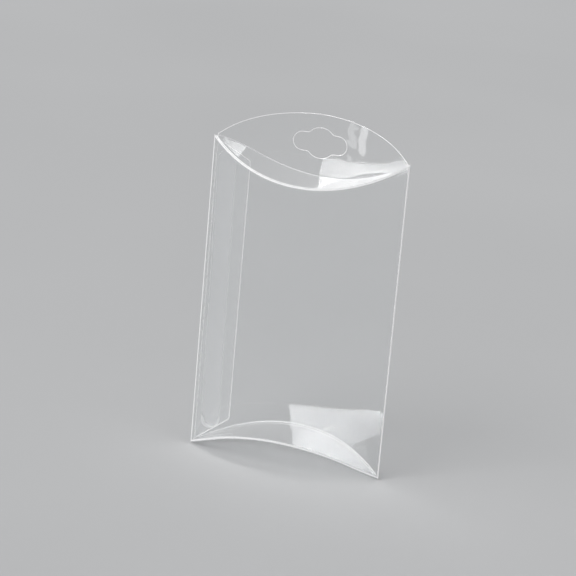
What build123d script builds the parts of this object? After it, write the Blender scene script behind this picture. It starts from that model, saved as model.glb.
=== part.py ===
from build123d import *
from math import asin, atan2, cos, degrees, hypot, sin, sqrt
import os

os.makedirs("parts", exist_ok=True)

# Clear pillow box with a standing hang tab. Millimetres, +Z up, +X to the right, the front faces -Y.
# The origin is the middle of the hang hole, which is level with the two upper corners.

# Driving sizes
box_width = 100.0            # from corner to corner across the front
box_height = 162.0           # from the upper corners down to the lower corners
bulge = 15.4                 # how far the front and the back stand out from the plane of the corners
film = 0.3                   # thickness of the clear sheet
flap_short = 0.8             # each flap's free edge stops this far short of a full lens
clearance = 0.3              # air between a closing flap and what it closes against
tip_relief = 1.6             # each closing flap's pointed tips stop this far inside the side folds

glue_flap_width = 19.3       # measured round the curve from the left fold
glue_flap_start = 0.9        # the glue flap's ends leave the left fold this far inside the corners
glue_flap_end = 12.9         # and meet its free edge this far inside the corners
glue_flap_corner = 1.5       # rounding of the glue flap's two free corners
back_setback = 1.4           # the back's raw edge stops this far short of the left fold

tape_thickness = 0.15        # clear adhesive between the glue flap and the back
tape_width = 8.4             # seen from the front
tape_in_top = 6.3            # middle of the tape from the left corner, at its upper end
tape_in_bottom = 8.0         # the same at its lower end
tape_end = 7.8               # the tape's ends stop this far inside the corners

hole_diameter = 15.2         # round middle of the hang hole
lobe_span = 27.4             # across the two side lobes
lobe_diameter = 9.2          # height of the side lobes
hole_blend = 1.2             # rounding where the lobes run into the round middle

score_width = 0.7            # scored line at the foot of the hang tab
score_depth = 0.1
score_end = 4.0              # the scored line stops this far inside the side folds

# Derived sizes: every panel and every flap is bent round the same radius.
half_width = box_width / 2
corner_y = -bulge
bottom_z = -box_height
curve_radius = (half_width**2 + bulge**2) / (2 * bulge)
centre_offset = curve_radius - bulge
half_angle = asin(half_width / curve_radius)
outer_radius = curve_radius + film / 2
inner_radius = curve_radius - film / 2
free_radius = curve_radius - flap_short
seam_radius = outer_radius + clearance
glue_outer_radius = inner_radius - tape_thickness
glue_inner_radius = glue_outer_radius - film
inner_flap_lift = film + clearance
tip_half = half_width - tip_relief
wide = half_width + 2 * film
reach = 3 * bulge


def rise(radius, x):
    # Height of a shallow curve above the straight line between two corners.
    return sqrt(radius**2 - x**2) - centre_offset


def curve(radius, half, level=0.0, side=1):
    # Shallow curve that swells up (side 1) or down (side -1) from a level.
    end = level + side * rise(radius, half)
    return ThreePointArc((-half, end), (0, level + side * (radius - centre_offset)), (half, end))


def strip(first_radius, second_radius, half, level=0.0, side=1):
    # Outline between two shallow curves that swell the same way.
    first = level + side * rise(first_radius, half)
    second = level + side * rise(second_radius, half)
    curve(first_radius, half, level, side)
    Line((half, first), (half, second))
    curve(second_radius, half, level, side)
    Line((-half, second), (-half, first))


def lens(front_radius, back_radius, half):
    # Outline between a curve that swells to the front and one that swells to the back.
    front = -rise(front_radius, half)
    back = rise(back_radius, half)
    curve(front_radius, half, side=-1)
    Line((half, front), (half, back))
    curve(back_radius, half)
    Line((-half, back), (-half, front))


def beyond(radius, far, level=0.0, side=1):
    # Outline of all that lies between a shallow curve and a straight edge far away.
    end = level + side * rise(radius, wide)
    curve(radius, wide, level, side)
    Line((wide, end), (wide, far))
    Line((wide, far), (-wide, far))
    Line((-wide, far), (-wide, end))


def fold_corner(front_radius, back_radius, side):
    # Point where a front curve meets a back curve, on the left (side -1) or the right (side 1).
    depth = (back_radius**2 - front_radius**2) / (4 * centre_offset)
    return side * sqrt(back_radius**2 - (depth + centre_offset) ** 2), depth


def on_back(radius, distance):
    # Point on a back curve, a distance round the curve from the left corner.
    turn = half_angle - distance / curve_radius
    return -radius * sin(turn), radius * cos(turn) - centre_offset


left_outer = fold_corner(outer_radius, glue_outer_radius, -1)
left_inner = fold_corner(inner_radius, glue_inner_radius, -1)
right_outer = fold_corner(outer_radius, outer_radius, 1)
right_inner = fold_corner(inner_radius, inner_radius, 1)
back_edge_outer = on_back(outer_radius, back_setback)
back_edge_inner = on_back(inner_radius, back_setback)
glue_edge_x = on_back(glue_outer_radius, glue_flap_width)[0]
glue_edge_outer = on_back(glue_outer_radius, glue_flap_width + film)
glue_edge_inner = on_back(glue_inner_radius, glue_flap_width + film)
glue_middle_outer = on_back(glue_outer_radius, glue_flap_width / 2)
glue_middle_inner = on_back(glue_inner_radius, glue_flap_width / 2)
glue_slant = (glue_flap_end - glue_flap_start) / (glue_edge_x + half_width)
glue_fold_z = glue_flap_start - glue_slant * (wide - half_width)
tape_top = (-half_width + tape_in_top, -tape_end - tape_width / 2)
tape_bottom = (-half_width + tape_in_bottom, bottom_z + tape_end + tape_width / 2)
tape_across = tape_bottom[0] - tape_top[0]
tape_down = tape_bottom[1] - tape_top[1]
tape_middle = ((tape_top[0] + tape_bottom[0]) / 2, (tape_top[1] + tape_bottom[1]) / 2)

# Drawing planes have their origin midway between two corners, and face up or to the front.
upper_plan = Plane(origin=(0, corner_y, 0), x_dir=(1, 0, 0), z_dir=(0, 0, 1))
lower_plan = Plane(origin=(0, corner_y, bottom_z), x_dir=(1, 0, 0), z_dir=(0, 0, 1))
upper_front = Plane(origin=(0, corner_y, 0), x_dir=(1, 0, 0), z_dir=(0, -1, 0))
lower_front = Plane(origin=(0, corner_y, bottom_z), x_dir=(1, 0, 0), z_dir=(0, -1, 0))

# Inner bottom flap: a shallow arch that runs forward from the curved score of the back.
with BuildPart() as inner_flap:
    with BuildSketch(lower_front):
        with BuildLine():
            strip(outer_radius, inner_radius, tip_half, inner_flap_lift)
        make_face()
    extrude(amount=reach, both=True)
    with BuildSketch(lower_plan):
        with BuildLine():
            lens(free_radius, outer_radius, tip_half)
        make_face()
    extrude(amount=reach, both=True, mode=Mode.INTERSECT)

# Glue flap: turned in at the left fold, and lying against the inside of the back.
with BuildPart() as glue_flap:
    with BuildSketch(lower_plan):
        with BuildLine():
            ThreePointArc(left_outer, glue_middle_outer, glue_edge_outer)
            Line(glue_edge_outer, glue_edge_inner)
            ThreePointArc(glue_edge_inner, glue_middle_inner, left_inner)
            Line(left_inner, left_outer)
        make_face()
    extrude(amount=box_height)
    with BuildSketch(upper_front):
        with BuildLine():
            Polyline(
                (-wide, -glue_fold_z),
                (glue_edge_x, -glue_flap_end),
                (glue_edge_x, bottom_z + glue_flap_end),
                (-wide, bottom_z + glue_fold_z),
                close=True,
            )
        make_face()
        fillet(vertices().filter_by_position(Axis.X, -half_width, 0), radius=glue_flap_corner)
    extrude(amount=reach, both=True, mode=Mode.INTERSECT)

# Scored line across the back, at the foot of the hang tab.
score_half = half_width - score_end
with BuildPart() as score:
    with BuildSketch(upper_front):
        with BuildLine():
            strip(curve_radius + score_width / 2, curve_radius - score_width / 2, score_half, side=-1)
        make_face()
    extrude(amount=-reach)
    with BuildSketch(upper_plan):
        with BuildLine():
            strip(outer_radius + film, outer_radius - score_depth, score_half)
        make_face()
    extrude(amount=-reach, mode=Mode.INTERSECT)

# Sleeve: front, back with its hang tab, glue flap and inner bottom flap, folded from one sheet.
with BuildPart() as sleeve:
    with BuildSketch(lower_plan):
        with BuildLine():
            ThreePointArc(left_outer, (0, -bulge - film / 2), right_outer)
            ThreePointArc(right_outer, (0, bulge + film / 2), back_edge_outer)
            Line(back_edge_outer, back_edge_inner)
            ThreePointArc(back_edge_inner, (0, bulge - film / 2), right_inner)
            ThreePointArc(right_inner, (0, -bulge + film / 2), left_inner)
            Line(left_inner, left_outer)
        make_face()
    extrude(amount=box_height + bulge)
    # The front ends just below the closing flap.
    with BuildSketch(upper_front):
        with BuildLine():
            beyond(seam_radius, reach, side=-1)
        make_face()
    extrude(amount=reach, mode=Mode.SUBTRACT)
    # The back runs on upwards as the hang tab.
    with BuildSketch(upper_front):
        with BuildLine():
            beyond(free_radius, reach)
        make_face()
    extrude(amount=-reach, mode=Mode.SUBTRACT)
    # The front's lower edge stops just above the outer bottom flap.
    with BuildSketch(lower_front):
        with BuildLine():
            beyond(seam_radius, -reach)
        make_face()
    extrude(amount=reach, mode=Mode.SUBTRACT)
    # The back's lower edge is the score of the inner bottom flap.
    with BuildSketch(lower_front):
        with BuildLine():
            beyond(inner_radius, -reach, inner_flap_lift)
        make_face()
    extrude(amount=-reach, mode=Mode.SUBTRACT)
    add(inner_flap.part)
    add(glue_flap.part)
    add(score.part, mode=Mode.SUBTRACT)
    # Hang hole with a round middle and two side lobes.
    with BuildSketch(Plane.XZ):
        Circle(hole_diameter / 2)
        SlotOverall(lobe_span, lobe_diameter)
        crossings = vertices().filter_by(lambda corner: abs(corner.X) < hole_diameter / 2)
        fillet(crossings.filter_by(lambda corner: abs(corner.Y) > film), radius=hole_blend)
    extrude(amount=bulge, both=True, mode=Mode.SUBTRACT)
sleeve.part.label = "sleeve"

# Clear tape between the glue flap and the back, leaning in a little towards its lower end.
with BuildPart() as glue_band:
    with BuildSketch(lower_plan):
        with BuildLine():
            strip(inner_radius, glue_outer_radius, half_width - back_setback)
        make_face()
    extrude(amount=box_height)
    with BuildSketch(upper_front):
        with Locations(tape_middle):
            SlotCenterToCenter(
                hypot(tape_across, tape_down),
                tape_width,
                rotation=degrees(atan2(tape_down, tape_across)),
            )
    extrude(amount=-reach, mode=Mode.INTERSECT)
glue_band.part.label = "glue_band"

# Front closing flap: a shallow trough let in at the front's upper score.
with BuildPart() as top_flap:
    with BuildSketch(upper_front):
        with BuildLine():
            strip(outer_radius, inner_radius, tip_half, side=-1)
        make_face()
    extrude(amount=reach, both=True)
    with BuildSketch(upper_plan):
        with BuildLine():
            lens(outer_radius, free_radius, tip_half)
        make_face()
    extrude(amount=reach, both=True, mode=Mode.INTERSECT)
top_flap.part.label = "top_flap"

# Outer bottom flap: the same shape the other way up, closing under the inner bottom flap.
with BuildPart() as bottom_flap:
    with BuildSketch(lower_front):
        with BuildLine():
            strip(outer_radius, inner_radius, tip_half)
        make_face()
    extrude(amount=reach, both=True)
    with BuildSketch(lower_plan):
        with BuildLine():
            lens(outer_radius, free_radius, tip_half)
        make_face()
    extrude(amount=reach, both=True, mode=Mode.INTERSECT)
bottom_flap.part.label = "bottom_flap"

export_step(sleeve.part, "parts/sleeve.step")
export_step(glue_band.part, "parts/glue_band.step")
export_step(top_flap.part, "parts/top_flap.step")
export_step(bottom_flap.part, "parts/bottom_flap.step")
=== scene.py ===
import math

import bpy
import numpy as np
from mathutils import Matrix, Vector


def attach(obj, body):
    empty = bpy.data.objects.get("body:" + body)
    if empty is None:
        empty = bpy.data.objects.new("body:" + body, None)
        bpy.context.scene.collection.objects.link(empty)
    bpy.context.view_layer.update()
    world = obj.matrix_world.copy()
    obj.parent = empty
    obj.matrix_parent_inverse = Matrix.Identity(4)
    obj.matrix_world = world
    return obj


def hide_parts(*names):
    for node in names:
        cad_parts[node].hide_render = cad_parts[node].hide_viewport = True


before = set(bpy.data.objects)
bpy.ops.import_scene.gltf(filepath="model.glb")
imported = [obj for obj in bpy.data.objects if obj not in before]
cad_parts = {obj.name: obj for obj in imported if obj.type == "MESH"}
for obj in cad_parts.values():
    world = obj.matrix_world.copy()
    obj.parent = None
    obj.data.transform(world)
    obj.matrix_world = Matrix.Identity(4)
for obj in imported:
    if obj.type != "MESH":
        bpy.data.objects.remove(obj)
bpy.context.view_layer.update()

scene = bpy.context.scene
scene.view_settings.view_transform = "Standard"
scene.cycles.transparent_max_bounces = 48  # a line of sight crosses up to ten faces of clear film

# Clear pillow box with a standing hang tab. Shapes are worked out in millimetres and written in metres.
# Origin in the middle of the hang hole, +X right, the front faces -Y, +Z up.
MM = 0.001
HALF = 50.0          # half the width between the corners
BULGE = 15.4         # how far front and back stand out from the plane of the corners
HEIGHT = 162.0       # upper corners down to lower corners
FILM = 0.3           # thickness of the clear sheet
TAPE = 0.1           # thickness of the adhesive band, a little less than its room
TAPE_ROOM = 0.15     # room for the band between the back and the glue flap
SHORT = 0.8          # free edges stop this far short of a full lens
GAP = 0.05           # air left between a closing flap and the front's edge
TIP = 48.9           # the closing flaps' tips
INNER_TIP = 48.4     # the inner bottom flap's tips
INNER_LIFT = 0.6     # the inner bottom flap lies this far above the outer one
GLUE_EDGE = -33.0    # free edge of the glue flap
RAW_EDGE = -48.6     # raw edge of the back, beside the left fold
LEFT_FOLD = -49.6    # where the left fold's bend begins to turn
TAB_END = 49.2       # right end of the hang tab
RADIUS = (HALF**2 + BULGE**2) / (2 * BULGE)  # of the curve that panels, creases and flaps share
OFFSET = RADIUS - BULGE                      # from that curve's centre to the plane of the corners
GLUE_RADIUS = RADIUS - FILM - TAPE_ROOM
TAPE_RADIUS = RADIUS - FILM / 2 - TAPE_ROOM / 2
FREE_RADIUS = RADIUS - SHORT


# ---------------------------------------------------------------- camera
def aim_camera():
    """Camera at the photograph's place and angle, found from the box's corners and creases in the photograph."""
    sensor, frame_pixels, focal_pixels = 36.0, 576.0, 2518.76
    data = bpy.data.cameras.new("photo_camera")
    data.sensor_width = sensor
    data.lens = focal_pixels * sensor / frame_pixels
    data.clip_start, data.clip_end = 0.05, 50.0
    camera = bpy.data.objects.new("photo_camera", data)
    scene.collection.objects.link(camera)
    right = Vector((0.94666555, 0.31090709, 0.08462338))
    up = Vector((-0.16907773, 0.25574104, 0.95184518))
    forward = Vector((-0.27429374, 0.91538697, -0.29466869))
    turn = Matrix((right, up, -forward)).transposed().to_4x4()
    camera.matrix_world = Matrix.Translation((0.3365, -1.1569, 0.2958)) @ turn
    scene.camera = camera


# ---------------------------------------------------------------- shader wiring
class Wire:
    """A shader value that can be added, multiplied and so on; each step becomes one Math node."""

    def __init__(self, board, socket):
        self.board, self.socket = board, socket

    def __add__(self, other):
        return self.board.math("ADD", self, other)

    def __sub__(self, other):
        return self.board.math("SUBTRACT", self, other)

    def __rsub__(self, other):
        return self.board.math("SUBTRACT", other, self)

    def __mul__(self, other):
        return self.board.math("MULTIPLY", self, other)

    def __truediv__(self, other):
        return self.board.math("DIVIDE", self, other)

    def __rtruediv__(self, other):
        return self.board.math("DIVIDE", other, self)

    def __pow__(self, other):
        return self.board.math("POWER", self, other)

    def __rpow__(self, other):
        return self.board.math("POWER", other, self)

    __radd__, __rmul__ = __add__, __mul__

    def most(self, other):
        return self.board.math("MAXIMUM", self, other)

    def clamped(self):
        return self.board.math("ADD", self, 0.0, clamp=True)

    def ramp(self, low, high):
        """0 below low, 1 above high, eased between."""
        inputs = {"Value": self, "From Min": low, "From Max": high}
        return self.board.node("ShaderNodeMapRange", {"interpolation_type": "SMOOTHSTEP"}, inputs, "Result")


class Board:
    """One material and its nodes."""

    def __init__(self, name):
        self.material = bpy.data.materials.new(name)
        self.material.use_nodes = True
        self.tree = self.material.node_tree
        self.tree.nodes.clear()

    def node(self, kind, settings=None, inputs=None, output=0):
        """Makes a node: settings are set first, then its sockets, by name or number, are given values or links."""
        node = self.tree.nodes.new(kind)
        for name, value in (settings or {}).items():
            setattr(node, name, value)
        for name, value in (inputs or {}).items():
            if isinstance(value, Wire):
                self.tree.links.new(value.socket, node.inputs[name])
            else:
                node.inputs[name].default_value = value
        return Wire(self, node.outputs[output]) if node.outputs else None

    def math(self, operation, first, second, clamp=False):
        return self.node("ShaderNodeMath", {"operation": operation, "use_clamp": clamp}, {0: first, 1: second})

    def attribute(self, name):
        return self.node("ShaderNodeAttribute", {"attribute_name": name}, output="Fac")

    def noise(self, scale, detail=2.0, stretch=(1.0, 1.0, 1.0)):
        place = self.node("ShaderNodeTexCoord", output="Object")
        place = self.node("ShaderNodeMapping", {}, {"Vector": place, "Scale": stretch})
        return self.node("ShaderNodeTexNoise", {}, {"Vector": place, "Scale": scale, "Detail": detail}, "Fac")

    def see_through(self, opaque, tint, body):
        """Clear and tinted where opaque is 0, the body's own shader where it is 1."""
        clear = self.node("ShaderNodeBsdfTransparent", {}, {"Color": (*tint, 1.0)}, "BSDF")
        return self.node("ShaderNodeMixShader", {}, {0: opaque, 1: clear, 2: body})

    def finish(self, surface):
        self.node("ShaderNodeOutputMaterial", {}, {"Surface": surface})
        return self.material


FILM_GLOSS = 1.5     # refractive index of the plastic, for its gloss
FACE_ON = 0.045      # share of light that the film mirrors when seen face on
GRAZING = 0.94       # how much more it mirrors at a grazing angle


def film_material(name, haze, milk):
    """Clear stiff film: see-through, with mirror gloss that grows towards grazing angles, whitened where the sheet
    was creased or cut, a breath of haze and a few fine rub marks. The whiteness at creases and cut edges is partly
    the plastic's own whitening and partly a painted glint of the bends and edges. Where the film is white it is a
    plain white plastic, and where it is clear only its mirror is left, as a metal that covers as much as the film
    mirrors."""
    b = Board(name)
    facing = b.node("ShaderNodeLayerWeight", {}, {"Blend": 0.5}, "Facing")
    gloss = facing**5.0 * GRAZING + FACE_ON
    fine, broad = b.noise(900.0, 3.0), b.noise(28.0, 2.0)
    # crease whiteness: partly stress whitening of the plastic, partly a painted glint of the bend
    crease = (b.attribute("whitening_and_glint") + (fine - 0.5) * 0.14).ramp(0.12, 0.5) * 0.97
    # cut-edge whiteness: partly the rough cut, partly a painted glint
    cut_whitening_and_glint = (b.attribute("cut") + (fine - 0.5) * 0.3).ramp(0.2, 0.75) * 0.85
    rubs = b.noise(140.0, 3.0, (1.0, 1.0, 0.12)).ramp(0.63, 0.80) * 0.03
    cloud = (broad * 0.9 + 0.1) * (2.0 * haze) + rubs + milk + b.attribute("veil") * 0.075
    white = crease.most(cut_whitening_and_glint).most(cloud).clamped()
    opaque = (gloss + white - gloss * white).clamped()
    body = b.node("ShaderNodeBsdfPrincipled", {}, {
        "Base Color": (0.96, 0.96, 0.96, 1.0),
        "Metallic": 1.0 - (white / opaque).clamped(),
        "Roughness": crease * 0.3 + fine * 0.02 + 0.035,
        "IOR": FILM_GLOSS,
    }, "BSDF")
    return b.finish(b.see_through(opaque, (0.990, 0.992, 0.993), body))


def edge_material(name):
    """Cut edge of the film: nearly white, partly from the rough cut and partly a painted glint, a little rough and
    uneven along its length.
    """
    b = Board(name)
    fine = b.noise(600.0, 3.0)
    # nearly white body: partly the rough cut, partly a painted glint
    body = b.node("ShaderNodeBsdfPrincipled", {}, {
        "Base Color": (0.95, 0.955, 0.96, 1.0),
        "Roughness": fine * 0.2 + 0.25,
        "IOR": FILM_GLOSS,
    }, "BSDF")
    return b.finish(b.see_through(fine.ramp(0.25, 0.75) * 0.3 + 0.65, (0.97, 0.975, 0.98), body))


# ---------------------------------------------------------------- shape helpers
def rise(x, radius=RADIUS):
    """Height of the shallow curve above the straight line between two corners: sqrt(radius^2 - x^2) - offset."""
    return np.sqrt(np.maximum(radius**2 - np.asarray(x, float) ** 2, 0.0)) - OFFSET


def fade(x):
    """1 in the middle of the width, 0 at the folds: 1 - (x / half width)^2."""
    return np.clip(1.0 - (x / HALF) ** 2, 0.0, 1.0)


def eased(x, xs, ys):
    """Smooth curve through the points (xs, ys): cubic pieces, whose slope at a point is the mean of the slopes to
    its two neighbours, where the nearer neighbour counts for more."""
    xs, ys = np.asarray(xs, float), np.asarray(ys, float)
    slope = np.gradient(ys, xs)
    i = np.clip(np.searchsorted(xs, x) - 1, 0, len(xs) - 2)
    h = xs[i + 1] - xs[i]
    t = (x - xs[i]) / h
    return (
        (2 * t**3 - 3 * t**2 + 1) * ys[i] + (t**3 - 2 * t**2 + t) * h * slope[i]
        + (3 * t**2 - 2 * t**3) * ys[i + 1] + (t**3 - t**2) * h * slope[i + 1]
    )


def twist(x):
    """The tab's foot and the closing flap's back edge sit a little off the even curve, in mm:
    high on the left, low right of the middle, nothing at the corners."""
    return eased(
        x, [-50, -46, -40, -34, -28, -15, 4, 14, 32, 50], [0, 1.7, 2.6, 2.6, 1.8, 0.2, -1.2, -1.5, -0.7, 0])


def sag(x):
    """The back's lower crease and the bottom flaps' back edges hang a little below the even curve, in mm."""
    return eased(x, [-50, -36, -18, 0, 12, 24, 36, 50], [0, -1.0, -1.3, -1.2, -0.9, -0.45, -0.2, 0])


def droop(x):
    """The front's lower crease and the bottom flaps' front edges hang a little below the even curve, in mm."""
    return eased(x, [-50, -44, -28, 0, 28, 44, 50], [0, -0.8, -1.2, -1.25, -1.15, -0.9, 0])


def buckle_front(x, z):
    """Slight unevenness of the front, in mm: two long low waves, 0.10 and 0.07 high, that die out at the folds."""
    return fade(x) * (0.10 * np.sin(z / 23.0 + 0.8 + x / 31.0) + 0.07 * np.sin(x / 9.0 + z / 41.0))


def buckle_back(x, z):
    """The same for the back and all that lies against it, and two finer ripples, 0.035 and 0.03 high, in a band of
    the tab about 15 mm right of the middle."""
    tab = np.clip((z + 9.0) / 5.0, 0.0, 1.0) * np.exp(-(((x - 15.0) / 7.0) ** 2))
    ripple = tab * (0.035 * np.sin(z / 1.7 + x / 4.0) + 0.03 * np.sin(x / 1.6 + 1.3 * np.sin(z / 3.0)))
    return fade(x) * (0.10 * np.sin(z / 19.0 + 2.1 - x / 37.0) + 0.06 * np.sin(x / 8.0 - z / 33.0)) + ripple


def spread(offsets, start, end, count):
    """Positions from start to end: close together at the given offsets from both ends, evenly spaced between."""
    offsets = np.asarray(offsets, float)
    sign = 1.0 if end > start else -1.0
    middle = np.linspace(start + sign * offsets[-1], end - sign * offsets[-1], count)[1:-1]
    return np.concatenate([start + sign * offsets, middle, end - sign * offsets[::-1]])


def corner_bend(before, corner, after, count=7):
    """Rounded fold between two points: the quadratic curve (1-t)^2 before + 2t(1-t) corner + t^2 after."""
    t = np.linspace(0.0, 1.0, count)[1:-1, None]
    return (1 - t) ** 2 * before + 2 * t * (1 - t) * corner + t**2 * after


def quads(rows, columns, index=None):
    """Corner numbers of the faces of a grid of rows x columns points."""
    if index is None:
        index = np.arange(rows * columns).reshape(rows, columns)
    return np.stack([index[:-1, :-1], index[:-1, 1:], index[1:, 1:], index[1:, :-1]], axis=-1).reshape(-1, 4)


def tent(points, lines, width, gain=1.0):
    """gain on the lines, falling evenly to 0 at the given distance from them. On the run from a to b, the nearest
    place to p is a + t (b - a), with t = (p - a).(b - a) / |b - a|^2 held between 0 and 1."""
    start = np.concatenate([line[:-1] for line in lines])
    run = np.concatenate([line[1:] for line in lines]) - start
    along = (points @ run.T - (start * run).sum(axis=1)) / np.maximum((run * run).sum(axis=1), 1e-12)
    along = np.clip(along, 0.0, 1.0)
    square = sum((points[:, k, None] - start[:, k] - along * run[:, k]) ** 2 for k in range(3))
    return gain * np.clip(1.0 - np.sqrt(square.min(axis=1)) / width, 0.0, 1.0)


def make_piece(name, body, replaced, points, faces, marks, materials, thickness=FILM, offset=0.0):
    """Mesh from points in mm, thickened to a closed sheet whose cut edges take the second material."""
    mesh = bpy.data.meshes.new(name)
    mesh.from_pydata((points * MM).tolist(), [], faces.tolist())
    for mark, values in marks.items():
        layer = mesh.attributes.new(mark, "FLOAT", "POINT")
        layer.data.foreach_set("value", np.asarray(values, np.float32))
    for material in materials:
        mesh.materials.append(material)
    mesh.polygons.foreach_set("use_smooth", np.ones(len(mesh.polygons), bool))
    mesh.update()
    piece = bpy.data.objects.new(name, mesh)
    scene.collection.objects.link(piece)
    solid = piece.modifiers.new("thickness", "SOLIDIFY")
    solid.thickness, solid.offset = thickness * MM, offset
    solid.use_even_offset = True
    solid.material_offset_rim = 1
    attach(piece, body)
    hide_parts(replaced)
    return piece


# ---------------------------------------------------------------- sleeve
NEAR_END = np.array([0.0, 0.18, 0.36, 0.54, 0.72, 0.95, 1.3, 1.9, 3.0, 5.0, 8.0])  # rows close to the ends
NEAR_FOLD = [0.0, 0.2, 0.45, 0.8, 1.3, 2.2, 3.6]                                   # columns close to a fold
NEAR_GLUE_EDGE = [0.0, 0.2, 0.4, 0.64, 0.9, 1.4]
NEAR_RIM = np.array([0.0, 0.2, 0.45, 0.9])                                         # rings close to the hole
NEAR_ARCH = np.array([0.9, 0.6, 0.4, 0.2])                                         # and to the tab's outline
FOLD_TRIM = 0.5                 # the panels stop this far short of a fold's line, and a bend joins them
TOP_POINT, LOW_POINT = 0.75, 0.7  # how far a fold's ends stand out as small points


def sleeve_path():
    """Plan outline of the folded sheet, from the glue flap's free edge round the front to the back's raw edge.
    Glue flap and back follow -bulge + rise(x), the front -bulge - rise(x), and rounded bends join them.
    Returns x, y, and how far along each point is from glue flap (0) to front (1) to back (2)."""
    glue_x = spread(NEAR_GLUE_EDGE, GLUE_EDGE, LEFT_FOLD + FOLD_TRIM, 14)
    front_x = spread(NEAR_FOLD, LEFT_FOLD + FOLD_TRIM, HALF - FOLD_TRIM, 66)
    back_x = spread(NEAR_FOLD, HALF - FOLD_TRIM, RAW_EDGE, 66)
    glue = np.stack([glue_x, -BULGE + rise(glue_x, GLUE_RADIUS)], 1)
    front = np.stack([front_x, -BULGE - rise(front_x)], 1)
    back = np.stack([back_x, -BULGE + rise(back_x)], 1)
    bend_left = corner_bend(glue[-1], np.array([LEFT_FOLD - 0.95, -BULGE - 0.05]), front[0])
    bend_right = corner_bend(front[-1], np.array([HALF + 0.5, -BULGE]), back[0])
    place = np.concatenate([glue, bend_left, front, bend_right, back])
    part = np.concatenate([
        np.zeros(len(glue)), np.linspace(0, 1, len(bend_left) + 2)[1:-1], np.ones(len(front)),
        np.linspace(1, 2, len(bend_right) + 2)[1:-1], np.full(len(back), 2.0),
    ])
    return place[:, 0], place[:, 1], part


def glue_end(x):
    """How far inside the corner's level the glue flap ends: a slanted line from the corner, 12 in for 17 across,
    rounded into the free edge by an arc."""
    slant, start, corner = 12.0 / 17.0, 0.9, 1.5
    steep = math.hypot(1.0, slant)
    line = start + slant * (x + HALF)
    centre_x = GLUE_EDGE - corner
    centre = start + slant * (centre_x + HALF) + corner * steep
    arc = centre - np.sqrt(np.maximum(corner**2 - (x - centre_x) ** 2, 0.0))
    return np.where(x > centre_x + corner * slant / steep, arc, line)


def sleeve_ends(x, part):
    """Height of the sheet's upper and lower end at each place of the plan outline: the creases' curves, which are
    the even curve with its twist, sag and droop, the glue flap's slanted ends, and straight steps round the folds."""
    to_front = 1.0 - np.abs(part - 1.0)
    glue_x = np.minimum(x, GLUE_EDGE)
    top_glue, low_glue = -glue_end(glue_x), -HEIGHT + glue_end(glue_x)
    bow = rise(np.clip(x, -HALF, HALF))
    top_front, low_front = -bow - FILM / 2 - GAP, -HEIGHT + bow + FILM / 2 + GAP + droop(x)
    top_back, low_back = -bow + twist(x), -HEIGHT + bow + (INNER_LIFT - FILM / 2) + sag(x)
    top, low = (
        np.where(part < 1.0, glue + (front - glue) * part, back + (front - back) * to_front)
        for glue, front, back in ((top_glue, top_front, top_back), (low_glue, low_front, low_back))
    )
    point = 1.0 - np.abs(2.0 * (part % 1.0) - 1.0)  # 1 at the middle of a side fold, 0 off it
    return top + TOP_POINT * point, low - LOW_POINT * point


def hole_reach(angle):
    """Distance from the hang hole's middle to its rim: the larger of a circle and a slot with round ends,
    joined by a soft maximum, largest + softness * log(sum of e^((each - largest) / softness))."""
    circle, slot_half, slot_round = 7.6, 13.7, 4.6
    softness, share = 0.45, 0.8
    c, s = np.abs(np.cos(angle)), np.abs(np.sin(angle))
    centre = slot_half - slot_round
    flat = slot_round / np.maximum(s, 1e-9)
    end = centre * c + np.sqrt(np.maximum(slot_round**2 - (centre * s) ** 2, 0.0))
    slot = np.where(flat * c <= centre, flat, end)
    largest = np.maximum(slot, circle)
    blend = np.log(np.exp((slot - largest) / softness) + np.exp((circle - largest) / softness))
    return largest + softness * blend * share


def tab_surface(flat):
    """The tab's points from their x and z: y = -bulge + rise(x), with the back's unevenness."""
    x, z = flat[..., 0], flat[..., 1]
    return np.stack([x, -BULGE + rise(x) + buckle_back(x, z), z], -1)


def hang_tab(foot):
    """Rings of the tab from the hole's rim outwards, and the arch, its upper edge. The outline is the foot from
    left to right and the arch back again, and a ring's point is rim + (outline - rim) t on its own ray from the
    middle of the hole. The arch is the even curve, made fuller towards its ends by 6.5 s^3 (1 - s^2) with
    s = |x| / half width, and never falls below the foot."""
    x = foot[::-1, 0]
    side = np.abs(x / HALF)
    full = 6.5 * side**3 * (1.0 - side**2)
    arch = np.stack([x, np.maximum(rise(x, FREE_RADIUS) + full, -rise(x) + twist(x) + 0.12)], 1)
    outline = np.concatenate([foot, arch])
    angle = np.arctan2(outline[:, 1], outline[:, 0])
    rim = hole_reach(angle)[:, None] * np.stack([np.cos(angle), np.sin(angle)], 1)
    span = np.linalg.norm(outline - rim, axis=1)
    middle = np.linspace(0.0, 1.0, 12)[1:-1, None]
    far = np.concatenate([
        NEAR_RIM[:, None] + 0 * span,
        NEAR_RIM[-1] + (span - NEAR_RIM[-1] - NEAR_ARCH[0]) * middle,
        span - NEAR_ARCH[:, None],
    ])
    t = (far / span)[..., None]
    return tab_surface(rim * (1 - t) + outline * t), tab_surface(arch)


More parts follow.
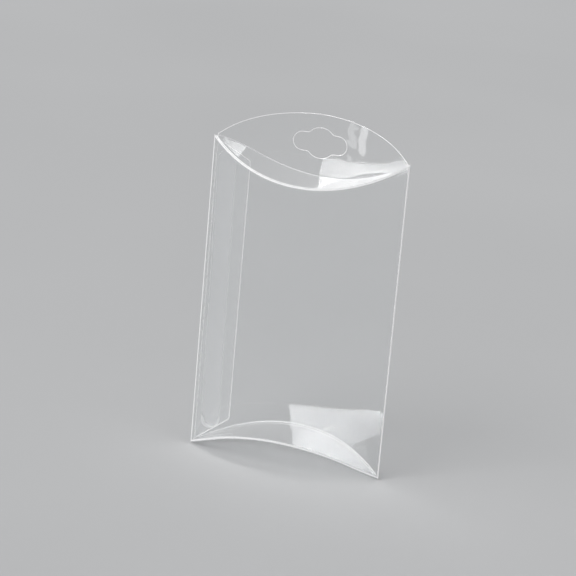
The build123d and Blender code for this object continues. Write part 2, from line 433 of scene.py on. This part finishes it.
def build_sleeve(materials):
    """Walls: the plan outline times heights, close together near both ends. The hang tab shares the points of the
    back's upper end."""
    x, y, part = sleeve_path()
    top, low = sleeve_ends(x, part)
    share = np.linspace(0.0, 1.0, 26)[1:-1, None]
    z = np.concatenate([
        top - NEAR_END[:, None],
        (top - NEAR_END[-1]) * (1 - share) + (low + NEAR_END[-1]) * share,
        low + NEAR_END[::-1, None],
    ])
    rows, columns = z.shape
    xx, yy = np.broadcast_to(x, z.shape), np.broadcast_to(y, z.shape)
    wave = np.where(np.abs(part - 1.0) < 0.5, -buckle_front(xx, z), buckle_back(xx, z))
    walls = np.stack([xx, yy + wave, z], -1)
    index = np.arange(rows * columns).reshape(rows, columns)

    back = np.where(part == 2.0)[0]
    foot = back[x[back] <= TAB_END]
    foot_line = np.stack([x[foot], top[foot]], 1)
    tab, arch = hang_tab(foot_line)
    rings, spokes = tab.shape[:2]
    tab_index = walls.size // 3 + np.arange(rings * spokes).reshape(rings, spokes)
    arch_index = tab_index[-1, -1] + 1 + np.arange(len(arch))
    tab_index = np.concatenate([tab_index, np.concatenate([index[0, foot], arch_index])[None]])
    tab_index = np.concatenate([tab_index, tab_index[:, :1]], 1)
    faces = np.concatenate([quads(rows, columns, index), quads(*tab_index.shape, tab_index)])
    points = np.concatenate([walls.reshape(-1, 3), tab.reshape(-1, 3), arch])

    front = np.where(part == 1.0)[0]
    left_bend, right_bend = np.where((part > 0) & (part < 1))[0], np.where((part > 1) & (part < 2))[0]
    folds = [walls[::4, bend[len(bend) // 2]] for bend in (left_bend, right_bend)]
    rim = np.concatenate([tab[0], tab[0][:1]])
    glue_ends = [walls[0, part < 0.3], walls[-1, part < 0.3]]
    # creases and folds whitened: partly stress whitening, partly a painted glint of the bends
    whitening_and_glint = np.maximum.reduce([
        tent(points, [walls[0, front], walls[-1, front]], width=1.1, gain=1.0),
        tent(points, folds, width=0.95, gain=0.9),
        tent(points, [walls[-1, back]], width=0.8, gain=0.5),
        tent(points, [walls[0, foot]], width=0.6, gain=0.2),
    ])
    # hole rim, arch and raw edges whitened: partly the rough cut, partly a painted glint
    cut = np.maximum(
        tent(points, [rim, arch], width=0.5),
        tent(points, [walls[::4, -1], walls[:, 0], *glue_ends], width=0.95),
    )
    veil = np.zeros(len(points))
    veil[: rows * columns] = np.tile(np.clip(1.0 - part * 2.0, 0.0, 1.0), rows)
    marks = {"whitening_and_glint": whitening_and_glint, "cut": cut, "veil": veil}
    return make_piece("sleeve_sheet", "box", "sleeve", points, faces, marks, materials)


# ---------------------------------------------------------------- flaps
def lens_sheet(name, body, replaced, materials, level, side, radii, tip, back_shift, front_shift=np.zeros_like,
               creased="front", crease_gain=1.0, free_gain=1.0):
    """A flap shaped like a lens in plan and bent like a shallow trough (side -1) or arch (side 1).
    x runs from tip to tip, y from the front curve to the back curve, and z = level + side * rise(x), with a low
    wave and the shift of the front edge passing evenly into that of the back edge."""
    x = spread([0.0, 0.3, 0.7, 1.4, 2.6], -tip, tip, 60)
    front, back = -BULGE - rise(x, radii[0]), -BULGE + rise(x, radii[1])
    width = back - front
    ends = np.array([0.0, 0.18, 0.36, 0.54, 0.75, 1.1, 1.8])[:, None] * np.minimum(1.0, width / 4.4)
    share = np.linspace(0.0, 1.0, 14)[1:-1, None]
    y = np.concatenate([
        front + ends, (front + ends[-1]) * (1 - share) + (back - ends[-1]) * share, back - ends[::-1],
    ])
    xx = np.broadcast_to(x, y.shape)
    z = level + side * rise(xx) + fade(xx) * 0.05 * np.sin(xx / 11.0 + y / 9.0)
    share = (y - front) / np.maximum(width, 0.1)
    z = z + front_shift(xx) * (1.0 - share) + back_shift(xx) * share
    grid = np.stack([xx, y, z], -1)
    points = grid.reshape(-1, 3)
    crease, free = (grid[0], grid[-1]) if creased == "front" else (grid[-1], grid[0])
    # crease and free edge whitened: partly the plastic's own whitening, partly a painted glint
    marks = {
        "whitening_and_glint": tent(points, [crease], width=0.95, gain=crease_gain),
        "cut": tent(points, [free], width=0.5, gain=free_gain),
    }
    return make_piece(name, body, replaced, points, quads(*y.shape), marks, materials)


# ---------------------------------------------------------------- tape
def build_tape(materials):
    """Tape with round ends: v runs along it, u across, and the half width is sqrt(r^2 - (r - v)^2) in the ends.
    It lies on the inside of the back, and is whitened round its rim, partly as a painted glint, and at its lower end,
    where the whitening paints crescent highlights."""
    half = 4.2
    top, low = np.array([-43.7, -12.0]), np.array([-42.0, -HEIGHT + 12.0])  # middles of the round ends
    left_limit = -48.3
    length = np.linalg.norm(low - top) + 2 * half
    along = (low - top) / np.linalg.norm(low - top)
    across = np.array([-along[1], along[0]])
    v = spread([0.01, 0.06, 0.16, 0.35, 0.7, 1.2, 2.0, 3.0, 4.2], 0.0, length, 30)
    inside = np.minimum(np.minimum(v, length - v), half)
    wide = np.sqrt(np.maximum(half**2 - (half - inside) ** 2, 0.0))
    u = np.array([-1, -0.95, -0.9, -0.8, -0.6, -0.3, 0, 0.3, 0.6, 0.8, 0.9, 0.95, 1])
    flat = top - along * half + v[:, None, None] * along + (wide[:, None] * u)[..., None] * across
    x, z = flat[..., 0], flat[..., 1]
    x = np.maximum(x, left_limit)
    grid = np.stack([x, -BULGE + rise(x, TAPE_RADIUS) + buckle_back(x, z), z], -1)
    points = grid.reshape(-1, 3)
    rim = np.concatenate([grid[:, 0], grid[::-1, -1], grid[:1, 0]])
    low_end = grid[v > length - 6.5]
    whole_end = np.concatenate([low_end[:, 0], low_end[::-1, -1]])
    # lower end whitened as painted crescent highlights, rim whitened partly as a painted glint
    marks = {
        "whitening_and_glint": np.maximum(
            tent(points, [whole_end], width=1.3, gain=0.8), tent(points, [low_end[:, 0]], width=2.6, gain=1.0)
        ),
        "cut": tent(points, [rim], width=0.7, gain=0.75),
    }
    return make_piece("tape_band", "box", "glue_band", points, quads(*x.shape), marks, materials, TAPE)


# ---------------------------------------------------------------- surroundings, in metres
FLOOR_LEVEL = -0.1626    # just under the lower corners
FLOOR_HALF = 7.0
STREAK_LEVEL, STREAK_TALL = -0.1135, 0.0365
STREAK_TARGET = (0.016, -0.002)


def build_floor():
    """Plain pale floor, its tone barely uneven."""
    b = Board("floor_pale")
    tone = b.node("ShaderNodeMix", {"data_type": "RGBA"}, {
        0: b.noise(3.0, 2.0).ramp(0.2, 0.8),
        6: (0.50, 0.505, 0.51, 1.0),
        7: (0.52, 0.525, 0.53, 1.0),
    }, 2)
    surface = b.node("ShaderNodeBsdfPrincipled", {}, {
        "Base Color": tone, "Roughness": 0.9, "Specular IOR Level": 0.0}, "BSDF")
    material = b.finish(surface)
    mesh = bpy.data.meshes.new("floor")
    corners = [(-1, -1), (1, -1), (1, 1), (-1, 1)]
    mesh.from_pydata([(FLOOR_HALF * x, FLOOR_HALF * y, FLOOR_LEVEL) for x, y in corners], [], [(0, 1, 2, 3)])
    mesh.materials.append(material)
    floor = bpy.data.objects.new("floor", mesh)
    scene.collection.objects.link(floor)


def build_world():
    """Plain even light from all round."""
    world = bpy.data.worlds.new("plain_world")
    world.use_nodes = True
    background = world.node_tree.nodes["Background"]
    background.inputs["Color"].default_value = (0.61, 0.61, 0.615, 1.0)
    background.inputs["Strength"].default_value = 1.0
    scene.world = world


def place_lamp(data, name, place, target, roll=0.0):
    """Lamp at a place, aimed at a target and rolled about that line. The camera doesn't see it."""
    lamp = bpy.data.objects.new(name, data)
    scene.collection.objects.link(lamp)
    lamp.location = place
    aim = Vector(target) - Vector(place)
    turn = aim.to_track_quat("-Z", "Y").to_matrix().to_4x4() @ Matrix.Rotation(roll, 4, "Z")
    lamp.rotation_mode = "QUATERNION"
    lamp.rotation_quaternion = turn.to_quaternion()
    lamp.visible_camera = False
    return lamp


def reflector(name, place, target, wide, tall, radiance, roll=0.0, shape="RECTANGLE"):
    """Soft panel that only shows in the film's gloss, as a studio's white card does; it lights nothing else.
    A radiance of 1 shows as white."""
    data = bpy.data.lights.new(name, "AREA")
    data.shape = shape
    data.size, data.size_y = wide, tall
    data.energy = radiance * math.pi * wide * tall
    place_lamp(data, name, place, target, roll).visible_diffuse = False


def build_lamps():
    """One broad soft key lamp, and the cards whose reflections are the film's highlights. Their places come from
    following the camera's lines of sight over the film."""
    sun = bpy.data.lights.new("key", "SUN")
    sun.energy, sun.angle = 1.55, math.radians(35.0)
    place_lamp(sun, "key", (-0.75, -1.3, 1.35), (0, 0, 0))

    # behind the box and square to its depth: name, place, width, height, radiance, roll in degrees
    for name, place, wide, tall, radiance, roll in (
        ("card_behind", (-0.3174, 1.2, 0.0079), 0.360, 0.230, 0.68, -63.4),
        ("card_low", (-0.0594, 0.45, 0.0699), 0.040, 0.175, 0.35, 48.65),
        ("card_low_wide", (-0.0282, 0.45, 0.0760), 0.072, 0.230, 0.25, 48.65),
        ("card_low_dim", (0.0165, 0.45, 0.0887), 0.112, 0.315, 0.20, 48.65),
        ("card_corner", (0.0971, 0.45, 0.5649), 0.078, 0.420, 2.6, 21.15),
    ):
        reflector(name, place, (place[0], 0.0, place[2]), wide, tall, radiance, math.radians(roll))

    # to the left: seen by way of the tab or the back and then a flap, and so far stronger than the others
    reflector("card_left", (-1.1619, -0.9295, 0.6812), (-0.1416, 0.1709, -0.0191), 2.06, 1.095, 14.5)

    # in front, for the two upright streaks, each soft with a brighter core
    for name, x, y, wide, radiance in (
        ("streak_one", -0.285, -0.403, 0.046, 1.1), ("streak_one_core", -0.285, -0.403, 0.026, 1.2),
        ("streak_two", -0.331, -0.365, 0.056, 2.0), ("streak_two_core", -0.331, -0.365, 0.030, 2.6),
    ):
        place, target = (x, y, STREAK_LEVEL), (*STREAK_TARGET, STREAK_LEVEL)
        reflector(name, place, target, wide, STREAK_TALL, radiance, shape="ELLIPSE")


aim_camera()
build_floor()
build_world()
build_lamps()
film = film_material("clear_film", haze=0.012, milk=0.0)
tape_film = film_material("clear_tape", haze=0.04, milk=0.20)
edge = edge_material("film_cut_edge")
made = [
    build_sleeve([film, edge]),
    lens_sheet("inner_bottom_sheet", "box", "sleeve", [film, edge], -HEIGHT + INNER_LIFT, 1,
               (FREE_RADIUS, RADIUS - 0.1), INNER_TIP, sag, droop, creased="back", crease_gain=0.6),
    build_tape([tape_film, edge]),
    lens_sheet("closing_sheet", "closing_flap", "top_flap", [film, edge], 0.0, -1,
               (RADIUS, FREE_RADIUS), TIP, twist, free_gain=0.5),
    lens_sheet("outer_bottom_sheet", "outer_bottom_flap", "bottom_flap", [film, edge], -HEIGHT, 1,
               (RADIUS, FREE_RADIUS), TIP, sag, droop),
]
